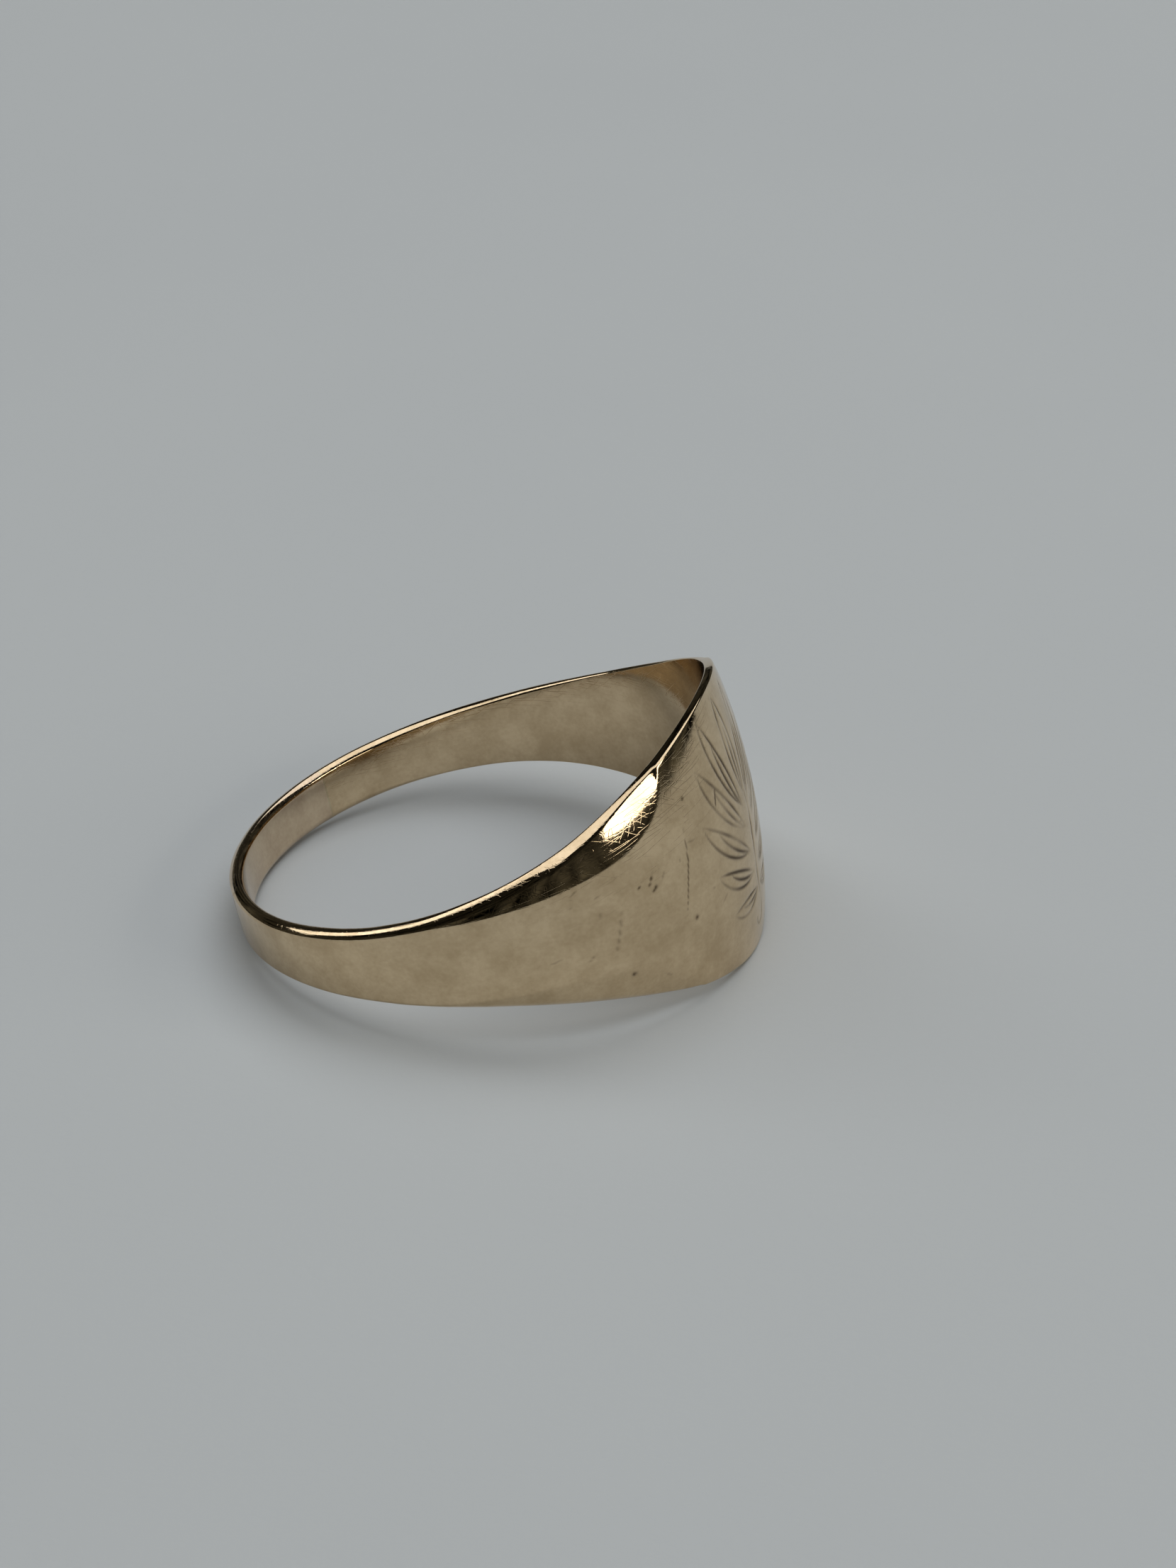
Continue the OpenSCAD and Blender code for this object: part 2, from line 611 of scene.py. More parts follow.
@dataclass(frozen=True)
class Wear:
    """Single marks that years of use have left on the outside.

    Attributes:
        seed: Seed of the scattered marks.
        nicks: Number of scattered short scratches.
        nick_spread: How far the nicks lie round the ring and along the finger, to either side, in mm.
        nick_length: Shortest and longest nick, in mm.
        nick_half_width: Half a nick's width, in mm.
        nick_depth: Shallowest and deepest nick, in mm.
        nick_grime: How much old polish and skin oil lies in a nick, from 0 to 1.
        scratches: Longer scratches, each on its own.
        pits: Pits, each on its own.
    """

    seed: int = 41
    nicks: int = 46
    nick_spread: Point = (14.0, 3.4)
    nick_length: Point = (0.12, 0.5)
    nick_half_width: float = 0.05
    nick_depth: Point = (0.001, 0.004)
    nick_grime: float = 0.35
    scratches: tuple[Groove, ...] = (
        Groove(((-4.6, 1.9), (-4.75, 0.7), (-5.0, -0.1), (-5.35, -1.25)), 0.045, 0.006, 0.8),
        Groove(((-6.48, 1.1), (-6.75, 0.6)), 0.05, 0.011, 0.9),
        Groove(((-8.05, 0.3), (-8.3, -0.5), (-8.65, -1.35)), 0.06, 0.004, 0.4),
        Groove(((-2.2, 2.35), (-2.5, 1.6)), 0.06, 0.014, 1.0),
        Groove(((4.4, -1.6), (4.9, -0.3), (5.1, 1.1)), 0.045, 0.006, 0.7),
        Groove(((7.1, 0.9), (8.2, 0.5), (9.3, 0.6)), 0.05, 0.005, 0.5),
    )
    pits: tuple[Pit, ...] = (
        Pit((-6.47, 0.5), 0.08, 0.01),
        Pit((-6.6, 0.42), 0.06, 0.008),
        Pit((-7.15, 0.8), 0.05, 0.006),
        Pit((-8.05, -2.35), 0.09, 0.008),
        Pit((-4.9, -1.55), 0.09, 0.009),
        Pit((-4.2, 2.9), 0.06, 0.006),
        Pit((5.6, -1.9), 0.1, 0.009),
        Pit((6.9, 1.7), 0.08, 0.008),
    )

    def grooves(self) -> list[Groove]:
        """Lists the long scratches and the scattered nicks.

        Returns:
            All of them, as grooves.
        """
        draws = random.Random(self.seed)
        found = list(self.scratches)
        for _ in range(self.nicks):
            arc, height = (draws.uniform(-spread, spread) for spread in self.nick_spread)
            heading = draws.uniform(0, math.pi)
            length = draws.uniform(*self.nick_length)
            end = (arc + length * math.cos(heading), height + length * math.sin(heading))
            depth = draws.uniform(*self.nick_depth)
            found.append(Groove(((arc, height), end), self.nick_half_width, depth, self.nick_grime))
        return found


@dataclass
class Surface:
    """The worn outer surface: the smooth form with its ripples, cuts and marks.

    Attributes:
        form: The smooth form.
        sprig: Engraving on the face.
        wear: Marks of use.
    """

    form: RingForm
    sprig: Sprig = field(default_factory=Sprig)
    wear: Wear = field(default_factory=Wear)

    def marks(self, turn: Array, height: Array) -> tuple[Array, Array]:
        """Depth of the cuts and marks, and the grime in them.

        Args:
            turn: Turns on the outer surface, from -pi to pi.
            height: Heights along the bore.

        Returns:
            Depths in mm, and grime from 0 to 1.
        """
        arc = (self.form.bore_r + self.form.head_wall) * turn
        patches = self.sprig.wear.at(turn, height, self.form.bore_r)
        left = np.clip(self.sprig.left + patches, self.sprig.least_left, 1)
        depth, grime = np.zeros_like(arc), np.zeros_like(arc)
        for groove in self.sprig.grooves():
            self._carve(groove, arc, height, left, depth, grime)
        for groove in self.wear.grooves():
            self._carve(groove, arc, height, np.ones_like(arc), depth, grime)
        for pit in self.wear.pits:
            gap = np.hypot(arc - pit.place[0], height - pit.place[1]) / pit.radius
            hollow = np.exp(-(gap**2))
            depth += pit.depth * hollow
            grime[:] = np.maximum(grime, pit.grime * hollow)
        return depth, grime

    @staticmethod
    def _carve(
        groove: Groove, arc: Array, height: Array, left: Array, depth: Array, grime: Array
    ) -> None:
        """Adds one groove to the depths and the grime.

        Args:
            groove: The groove.
            arc: Arcs from the face.
            height: Heights along the bore.
            left: Share of the groove that wear has left.
            depth: Depths, changed in place.
            grime: Grime, changed in place.
        """
        corners = np.array(groove.points)
        low, high = corners.min(0) - groove.half_width, corners.max(0) + groove.half_width
        near = (arc > low[0]) & (arc < high[0]) & (height > low[1]) & (height < high[1])
        if near.any():
            cut = groove.cut(arc[near], height[near]) * left[near]
            depth[near] = np.maximum(depth[near], groove.depth * cut)
            grime[near] = np.maximum(grime[near], groove.grime * cut)


# --------------------------------------------------------------------------------------------
# Modelling
# --------------------------------------------------------------------------------------------


# The rim is drawn in steps: some over its outer rounding and the rest over its inner one.
OUTER_ROLL_STEPS = 14
RIM_STEPS = 24
OUTER_ROLL = OUTER_ROLL_STEPS / RIM_STEPS
# The unit section's sides lie at 1 and -1, and a point past this share of the way is on a side.
ON_SIDE = 0.999
# Turns at which the spacing of the grid's rows is worked out, before the rows are set.
TRIAL_TURNS = 4001
LEAST_ROWS = 3


class Side(Enum):
    """Sides of a wall's section that are divided, with the cuts of each round that divides one.

    The inner side is left whole, because the bore is straight along the finger. The top and the bottom
    are cut alike. Members with equal values would be one and the same member, so every value starts
    with its side's own name.
    """

    OUTER = ("outer", 18, 9)
    TOP = ("top", RIM_STEPS - 1)
    BOTTOM = ("bottom", RIM_STEPS - 1)

    @property
    def rounds(self) -> tuple[int, ...]:
        """Number of cuts in each round."""
        return self.value[1:]


def side_test(side: Side, centre: float) -> Callable[[Vector], bool]:
    """Gives the test of whether a point of the unshaped section lies on a side.

    Args:
        side: The side.
        centre: Where the section's middle is along X.

    Returns:
        A test of a point.
    """
    tests = {
        Side.OUTER: lambda at: at.x > centre + ON_SIDE,
        Side.TOP: lambda at: at.z > ON_SIDE,
        Side.BOTTOM: lambda at: at.z < -ON_SIDE,
    }
    return tests[side]


def select_edges(piece: bpy.types.Object, wanted: Callable[[bmesh.types.BMEdge], bool]) -> None:
    """Selects only the edges that pass a test, in edit mode.

    Args:
        piece: The object in edit mode.
        wanted: Test of an edge.
    """
    bpy.ops.mesh.select_all(action="DESELECT")
    shape = bmesh.from_edit_mesh(piece.data)
    for edge in shape.edges:
        if wanted(edge):
            edge.select_set(True)
    bmesh.update_edit_mesh(piece.data)


def rolled(share: Array, start: Array, corner: Array, end: Array, fullness: Array) -> Array:
    """Rounds a corner with one cubic curve, along one axis.

    Args:
        share: Share of the way over the corner.
        start: Where the curve leaves the first side.
        corner: Where the two sides would meet.
        end: Where it joins the second side.
        fullness: How square the curve is, from 0 for a chamfer to 1 for a sharp corner.

    Returns:
        Places on the curve.
    """
    lead = start + fullness * (corner - start)
    follow = end + fullness * (corner - end)
    left = 1 - share
    return left**3 * start + 3 * share * left**2 * lead + 3 * share**2 * left * follow + share**3 * end


@dataclass
class WallStretch:
    """A stretch of the ring's wall, spun round the bore from one section.

    A unit section is drawn and spun by hand tools. The sweep of the shoulders, the crease and the worn
    rim follow laws that those tools don't have, so the spun grid is then laid onto the surface.

    Attributes:
        name: Name of the piece.
        surface: The worn surface.
        start: Turn where the stretch starts.
        end: Turn where it ends.
        spacing: Arc between rows of the grid, in mm, on the face, on the shoulders and behind them.
        shoulder_rows: Arcs from the middle of the face between which the shoulders' spacing takes over.
        back_rows: The same for the spacing behind the shoulders.
        sunk: How far the outside lies under the ring's surface, in mm.
        rubbed_reach: How far from the rim fingers rub the gold bright, in mm.
        rubbed_crease: How far under the crease that starts on the bevel, and how far over it, in mm.
        rubbed_bevel: How bright the bevel is rubbed, from 0 to 1.
        rubbed_inside: How bright the bore is rubbed, from 0 to 1.
    """

    name: str
    surface: Surface
    start: float
    end: float
    spacing: tuple[float, float, float] = (0.062, 0.105, 0.27)
    shoulder_rows: Point = (5.0, 6.2)
    back_rows: Point = (8.0, 12.0)
    sunk: float = 0.0
    rubbed_reach: float = 0.28
    rubbed_crease: Point = (0.1, 0.15)
    rubbed_bevel: float = 0.85
    rubbed_inside: float = 0.4

    def stations(self) -> Array:
        """Works out the turn of each row of the grid, close together on the face.

        Returns:
            The turns, from the stretch's start to its end.
        """
        form = self.surface.form
        fine = np.linspace(self.start, self.end, TRIAL_TURNS)
        arc = form.bore_r * np.radians(degrees_off(fine))
        face, shoulder, back = self.spacing
        widened = (shoulder - face) * smooth_step(*self.shoulder_rows, arc)
        gap = face + widened + (back - shoulder) * smooth_step(*self.back_rows, arc)
        travelled = np.concatenate([[0.0], np.cumsum(np.diff(fine) * form.bore_r / gap[1:])])
        rows = max(LEAST_ROWS, math.ceil(travelled[-1]))
        return np.interp(np.linspace(0, travelled[-1], rows + 1), travelled, fine)

    def spun(self, rows: int) -> bpy.types.Object:
        """Draws the unit section and spins it half round the bore into a grid with closed ends.

        Args:
            rows: Number of steps.

        Returns:
            The unshaped piece, in mm.
        """
        centre = self.surface.form.bore_r
        bpy.ops.object.select_all(action="DESELECT")
        upright = (math.pi / 2, 0, 0)
        bpy.ops.mesh.primitive_plane_add(size=2, location=(centre, 0, 0), rotation=upright)
        piece = bpy.context.object
        piece.name = piece.data.name = self.name
        bpy.ops.object.transform_apply(location=True, rotation=True, scale=True)
        bpy.ops.object.mode_set(mode="EDIT")
        bpy.ops.mesh.select_mode(type="EDGE")
        bpy.ops.mesh.select_all(action="SELECT")
        bpy.ops.mesh.delete(type="ONLY_FACE")
        for side in Side:
            on_side = side_test(side, centre)
            for cuts in side.rounds:
                select_edges(piece, lambda edge: all(on_side(corner.co) for corner in edge.verts))
                bpy.ops.mesh.subdivide(number_cuts=cuts)
        bpy.ops.mesh.select_all(action="SELECT")
        bpy.ops.mesh.spin(steps=rows, angle=math.pi, center=(0, 0, 0), axis=(0, 0, 1))
        for end in (lambda at: at.x > 0, lambda at: at.x < 0):
            select_edges(piece, lambda edge: edge.is_boundary and all(end(v.co) for v in edge.verts))
            bpy.ops.mesh.edge_face_add()
        bpy.ops.object.mode_set(mode="OBJECT")
        return piece

    def build(self) -> bpy.types.Object:
        """Spins the stretch and lays it onto the worn surface.

        Returns:
            The finished piece, in metres, with its attributes for the finishes.
        """
        stations = self.stations()
        piece = self.spun(len(stations) - 1)
        mesh = piece.data
        flat = np.zeros(len(mesh.vertices) * 3)
        mesh.vertices.foreach_get("co", flat)
        x, y, z = flat.reshape(-1, 3).T
        share = np.abs(np.arctan2(y, x)) / math.pi
        turn = np.interp(share, np.linspace(0, 1, len(stations)), stations)
        points, traits = self.shaped(turn, np.hypot(x, y) - self.surface.form.bore_r, z)
        mesh.vertices.foreach_set("co", points.ravel())
        for name, values in traits.items():
            kind = "FLOAT" if values.ndim == 1 else "FLOAT_VECTOR"
            made = mesh.attributes.new(name, kind, "POINT")
            made.data.foreach_set("value" if values.ndim == 1 else "vector", values.ravel())
        bpy.ops.object.mode_set(mode="EDIT")
        bpy.ops.mesh.select_all(action="SELECT")
        bpy.ops.mesh.normals_make_consistent(inside=False)
        bpy.ops.object.mode_set(mode="OBJECT")
        bpy.ops.object.shade_smooth_by_angle(angle=SMOOTH_UNDER)
        return piece

    def edge(self, turn: Array, past: Array) -> tuple[Array, Array]:
        """Draws the rounded rim, from the outer surface over the top and down into the bore.

        Args:
            turn: Turns.
            past: Share of the way over the rim, from 0 outside to 1 in the bore.

        Returns:
            Distances above the bore, and depths below the rim's top.
        """
        form = self.surface.form
        run = form.rounding(turn)
        start = form.half_width(turn) - run
        tilt = form.slope(turn, start)
        wall = form.outer_radius(turn, start) - form.bore_r
        eased, eased_run = form.easing(turn)
        corner = wall - run * np.tan(tilt)
        square, within = form.squareness(turn), form.inner_fullness
        outer = np.clip(past / OUTER_ROLL, 0, 1)
        inner = np.clip((past - OUTER_ROLL) / (1 - OUTER_ROLL), 0, 1)
        outer_above = rolled(outer, wall, corner, eased, square)
        outer_below = rolled(outer, run, 0, 0, square)
        inner_above = rolled(inner, eased, 0, 0, within)
        inner_below = rolled(inner, 0, 0, eased_run, within)
        above = np.where(inner > 0, inner_above, outer_above)
        below = np.where(inner > 0, inner_below, outer_below)
        return above, below

    def shaped(self, turn: Array, across: Array, up: Array) -> tuple[Array, dict[str, Array]]:
        """Lays the unit grid onto the worn surface.

        Args:
            turn: Turn of each vertex.
            across: Place through the wall, from -1 at the bore to 1 outside.
            up: Place along the finger, from -1 to 1.

        Returns:
            Points in metres, and the finishes' attributes by name.
        """
        form = self.surface.form
        half = form.half_width(turn)
        run = form.rounding(turn)
        outside, inside = across > ON_SIDE, across < -ON_SIDE
        above, below = self.edge(turn, (1 - across) / 2)
        reach = np.where(inside, form.easing(turn)[1], run)
        on_side = outside | inside
        height = np.where(on_side, up * (half - reach), np.sign(up) * (half - below))
        open_wall = form.outer_radius(turn, height) - form.bore_r
        above = np.where(outside, open_wall, np.where(inside, 0, above))
        radius = form.bore_r + above
        skin = np.clip(above / form.rim_wall(turn), 0, 1)
        depth, grime = self.surface.marks(turn, height)
        cut = np.where(outside, depth, 0) + self.sunk
        radius = radius + skin * (form.ripples.at(turn, height, form.bore_r) - cut)
        start = form.bevel_from(turn)
        under, over = self.rubbed_crease
        on_rim = np.exp(-(((np.abs(height) - half + run / 2) / self.rubbed_reach) ** 2))
        on_bevel = self.rubbed_bevel * smooth_step(start - under, start + over, np.abs(height))
        rub = np.where(inside, self.rubbed_inside * on_rim, np.maximum(on_rim, on_bevel))
        traits = {
            "grime": np.where(outside, grime, 0.0),
            "rub": rub,
            "developed": np.stack([turn * form.bore_r, height, radius], axis=-1),
        }
        return form.laid_down(turn, radius, height), traits


# --------------------------------------------------------------------------------------------
# Finishes
# --------------------------------------------------------------------------------------------


def linear(code: str) -> Colour:
    """Turns an sRGB hex value into linear colour.

    Args:
        code: Six hex digits after a hash.

    Returns:
        Red, green, blue and full alpha.
    """
    channels = [int(code[place : place + 2], 16) / 255 for place in (1, 3, 5)]
    red, green, blue = [c / 12.92 if c <= 0.04045 else ((c + 0.055) / 1.055) ** 2.4 for c in channels]
    return red, green, blue, 1.0


def add_node(tree: bpy.types.NodeTree, kind: str, settings: dict, inputs: dict) -> bpy.types.Node:
    """Adds a node with its settings and links.

    Args:
        tree: The node tree.
        kind: The node's type.
        settings: Its properties by name.
        inputs: A value, or the socket to link from, by input name or number.

    Returns:
        The new node.
    """
    node = tree.nodes.new(kind)
    for name, value in settings.items():
        setattr(node, name, value)
    for key, value in inputs.items():
        if isinstance(value, bpy.types.NodeSocket):
            tree.links.new(value, node.inputs[key])
        else:
            node.inputs[key].default_value = value
    return node


@dataclass(frozen=True)
class ScratchField:
    """Many hairline scratches that run roughly one way.

    Attributes:
        heading: Direction they run in, in degrees from round the ring.
        length: Usual length, in mm.
        gap: Usual distance between them, in mm.
        share: Share of the surface's height that they take.
    """

    heading: float
    length: float
    gap: float
    share: float


@dataclass(frozen=True)
class GoldFinish:
    """Cast or rolled gold alloy, polished once and then worn.

    Attributes:
        name: Name of the material.
        bright: Colour where fingers keep it clean.
        dull: Colour under a haze of skin oil and sulphide.
        grime: Colour of the old polish in cuts.
        polish: Roughness where it is rubbed, on the open wall, and in grime.
        polish_spread: Share by which haze makes the open wall's roughness greater or less.
        haze_size: Size of the hazy patches, in mm.
        haze_levels: Levels of the mottling between which the gold turns from bright to dull.
        grain_size: Size of the finest mottling, in mm.
        grain_weight: How much the grain adds to the haze.
        grain_relief: Height of the grain, in scratch depths.
        grime_cover: How far grime hides the gold.
        scratch_depth: Depth of the hairline scratches, in mm.
        scratch_width: Levels of the noise to either side of its middle that a hairline takes.
        scratches: The families of scratches.
    """

    name: str
    bright: str
    dull: str
    grime: str = "#3A2A1C"
    polish: tuple[float, float, float] = (0.05, 0.11, 0.55)
    polish_spread: float = 0.25
    haze_size: float = 1.3
    haze_levels: Point = (0.5, 0.86)
    grain_size: float = 0.16
    grain_weight: float = 0.35
    grain_relief: float = 0.9
    grime_cover: float = 0.95
    scratch_depth: float = 0.0007
    scratch_width: float = 0.018
    scratches: tuple[ScratchField, ...] = (
        ScratchField(heading=8, length=2.6, gap=0.22, share=1.0),
        ScratchField(heading=-34, length=1.7, gap=0.3, share=0.8),
        ScratchField(heading=71, length=1.4, gap=0.34, share=0.7),
    )

    def material(self) -> bpy.types.Material:
        """Builds the material.

        Returns:
            A polished metal with haze, grain, hairline scratches and grime.
        """
        made = bpy.data.materials.new(self.name)
        made.use_nodes = True
        tree = made.node_tree
        tree.nodes.clear()
        place = add_node(tree, "ShaderNodeAttribute", {"attribute_name": "developed"}, {}).outputs["Vector"]
        grime = add_node(tree, "ShaderNodeAttribute", {"attribute_name": "grime"}, {}).outputs["Fac"]
        rub = add_node(tree, "ShaderNodeAttribute", {"attribute_name": "rub"}, {}).outputs["Fac"]
        haze_inputs = {"Vector": place, "Scale": 1 / self.haze_size, "Detail": 4.0, "Roughness": 0.62}
        haze = add_node(tree, "ShaderNodeTexNoise", {}, haze_inputs).outputs["Fac"]
        grain_inputs = {"Vector": place, "Scale": 1 / self.grain_size, "Detail": 2.0, "Roughness": 0.6}
        grain = add_node(tree, "ShaderNodeTexNoise", {}, grain_inputs).outputs["Fac"]
        summed = {0: grain, 1: self.grain_weight, 2: haze}
        mottle = add_node(tree, "ShaderNodeMath", {"operation": "MULTIPLY_ADD"}, summed).outputs[0]
        cleanest, haziest = self.haze_levels
        spread = {"Value": mottle, "From Min": cleanest, "From Max": haziest}
        dulled = add_node(tree, "ShaderNodeMapRange", {}, spread).outputs[0]
        clamped = {"operation": "MULTIPLY", "use_clamp": True}
        dirt = add_node(tree, "ShaderNodeMath", clamped, {0: grime, 1: self.grime_cover}).outputs[0]
        # A mix of colours has its share at input 0, its colours at 6 and 7 and its result at output 2.
        tones = {0: dulled, 6: linear(self.bright), 7: linear(self.dull)}
        metal = add_node(tree, "ShaderNodeMix", {"data_type": "RGBA"}, tones).outputs[2]
        stained = {0: dirt, 6: metal, 7: linear(self.grime)}
        colour = add_node(tree, "ShaderNodeMix", {"data_type": "RGBA"}, stained).outputs[2]
        rubbed, open_wall, dirty = self.polish
        satin_range = {
            "Value": dulled,
            "To Min": open_wall * (1 - self.polish_spread),
            "To Max": open_wall * (1 + self.polish_spread),
        }
        satin = add_node(tree, "ShaderNodeMapRange", {}, satin_range).outputs[0]
        # A mix of numbers has its share at input 0, its numbers at 2 and 3 and its result at output 0.
        worn = {0: rub, 2: satin, 3: rubbed}
        shine = add_node(tree, "ShaderNodeMix", {"data_type": "FLOAT"}, worn).outputs[0]
        clogged = {0: dirt, 2: shine, 3: dirty}
        roughness = add_node(tree, "ShaderNodeMix", {"data_type": "FLOAT"}, clogged).outputs[0]
        bump_inputs = {
            "Height": self._scratched(tree, place, grain),
            "Strength": 1.0,
            "Distance": self.scratch_depth * METRES_PER_MM,
        }
        bump = add_node(tree, "ShaderNodeBump", {}, bump_inputs).outputs["Normal"]
        shader_inputs = {"Base Color": colour, "Metallic": 1.0, "Roughness": roughness, "Normal": bump}
        shader = add_node(tree, "ShaderNodeBsdfPrincipled", {}, shader_inputs)
        add_node(tree, "ShaderNodeOutputMaterial", {}, {"Surface": shader.outputs[0]})
        return made

    def _scratched(
        self, tree: bpy.types.NodeTree, place: bpy.types.NodeSocket, grain: bpy.types.NodeSocket
    ) -> bpy.types.NodeSocket:
        """Adds up the families of scratches over the fine grain.

        Real hairlines are a few thousandths of a millimetre wide, too fine to show, so they are drawn
        about ten times as wide, and as shallow as keeps their slopes true.

        Args:
            tree: The node tree.
            place: Socket of the developed place.
            grain: Socket of the fine grain.

        Returns:
            Socket of the height, in scratch depths.
        """
        relief = {0: grain, 1: self.grain_relief}
        level = add_node(tree, "ShaderNodeMath", {"operation": "MULTIPLY"}, relief).outputs[0]
        for family in self.scratches:
            turned = {
                "Vector": place,
                "Rotation": (0, 0, math.radians(family.heading)),
                "Scale": (family.length, family.gap, family.gap),
            }
            along = add_node(tree, "ShaderNodeMapping", {"vector_type": "TEXTURE"}, turned).outputs[0]
            lines_inputs = {"Vector": along, "Scale": 1.0, "Detail": 1.5}
            lines = add_node(tree, "ShaderNodeTexNoise", {}, lines_inputs).outputs["Fac"]
            # Each line follows the noise's middle level, so a scratch is where the noise is near it.
            middle = {0: lines, 1: 0.5}
            off = add_node(tree, "ShaderNodeMath", {"operation": "SUBTRACT"}, middle).outputs[0]
            away = add_node(tree, "ShaderNodeMath", {"operation": "ABSOLUTE"}, {0: off}).outputs[0]
            cut_range = {
                "Value": away,
                "From Max": self.scratch_width,
                "To Min": -family.share,
                "To Max": 0.0,
            }
            cut = add_node(tree, "ShaderNodeMapRange", {}, cut_range).outputs[0]
            level = add_node(tree, "ShaderNodeMath", {"operation": "ADD"}, {0: level, 1: cut}).outputs[0]
        return level


# 9 carat yellow gold, struck, polished and worn for decades: a pale warm metal whose open walls have
# gone satin with hairlines and haze, while its edges are kept bright by the skin.
WORN_GOLD = GoldFinish(name="worn_polished_9ct_gold", bright="#DFC7A3", dull="#C7AF8B")

# 9 carat sizing stock, rolled and filed to fit: a touch paler, with file lines across the band.
SIZING_GOLD = GoldFinish(
    name="filed_9ct_sizing_gold",
    bright="#DEC8AA",
    dull="#C7B094",
    scratches=(
        ScratchField(heading=86, length=1.2, gap=0.16, share=1.0),
        ScratchField(heading=12, length=2.2, gap=0.3, share=0.8),
    ),
)

# Hard gold solder, filed flush: richer in silver, so it stays a paler, greyer line in the band.
HARD_SOLDER = GoldFinish(
    name="filed_hard_gold_solder",
    bright="#DCCFAF",
    dull="#BBAA88",
    polish=(0.16, 0.26, 0.5),
)


@dataclass(frozen=True)
class PaperFinish:
    """Smooth uncoated white paper, a cool white that takes soft shadows and shows hardly any shine.

    Attributes:
        name: Name of the material.
        light: Its lighter tone.
        dark: Its darker tone.
        fibre_size: Size of the clumps of fibres, in mm.
        fibre_relief: How far the fibres stand up, in mm.
        fibre_strength: How much of that relief the light picks out.
        cockle_size: Size of its faint waves of tone, in mm.
        roughness: Roughness of the bare fibres.
        sheen: Level of their reflection.
    """

    name: str = "uncoated_white_paper"
    light: str = "#D2D6D5"
    dark: str = "#CCD0D0"
    fibre_size: float = 0.35
    fibre_relief: float = 0.03
    fibre_strength: float = 0.35
    cockle_size: float = 45.0
    roughness: float = 0.9
    sheen: float = 0.2

    def material(self) -> bpy.types.Material:
        """Builds the material.

        Returns:
            A matt white with faint waves of tone and a fine tooth.
        """
        made = bpy.data.materials.new(self.name)
        made.use_nodes = True
        tree = made.node_tree
        tree.nodes.clear()
        place = add_node(tree, "ShaderNodeTexCoord", {}, {}).outputs["Object"]
        cockle_scale = 1 / (self.cockle_size * METRES_PER_MM)
        cockle_inputs = {"Vector": place, "Scale": cockle_scale, "Detail": 3.0}
        cockle = add_node(tree, "ShaderNodeTexNoise", {}, cockle_inputs).outputs["Fac"]
        tones = {0: cockle, 6: linear(self.dark), 7: linear(self.light)}
        tone = add_node(tree, "ShaderNodeMix", {"data_type": "RGBA"}, tones).outputs[2]
        fibre_scale = 1 / (self.fibre_size * METRES_PER_MM)
        fibre_inputs = {"Vector": place, "Scale": fibre_scale, "Detail": 3.0}
        fibre = add_node(tree, "ShaderNodeTexNoise", {}, fibre_inputs).outputs["Fac"]
        bump_inputs = {
            "Height": fibre,
            "Strength": self.fibre_strength,
            "Distance": self.fibre_relief * METRES_PER_MM,
        }
        bump = add_node(tree, "ShaderNodeBump", {}, bump_inputs).outputs["Normal"]
        shader_inputs = {
            "Base Color": tone,
            "Roughness": self.roughness,
            "Specular IOR Level": self.sheen,
            "Normal": bump,
        }
        shader = add_node(tree, "ShaderNodeBsdfPrincipled", {}, shader_inputs)
        add_node(tree, "ShaderNodeOutputMaterial", {}, {"Surface": shader.outputs[0]})
        return made


# --------------------------------------------------------------------------------------------
# Pieces of the ring
# --------------------------------------------------------------------------------------------


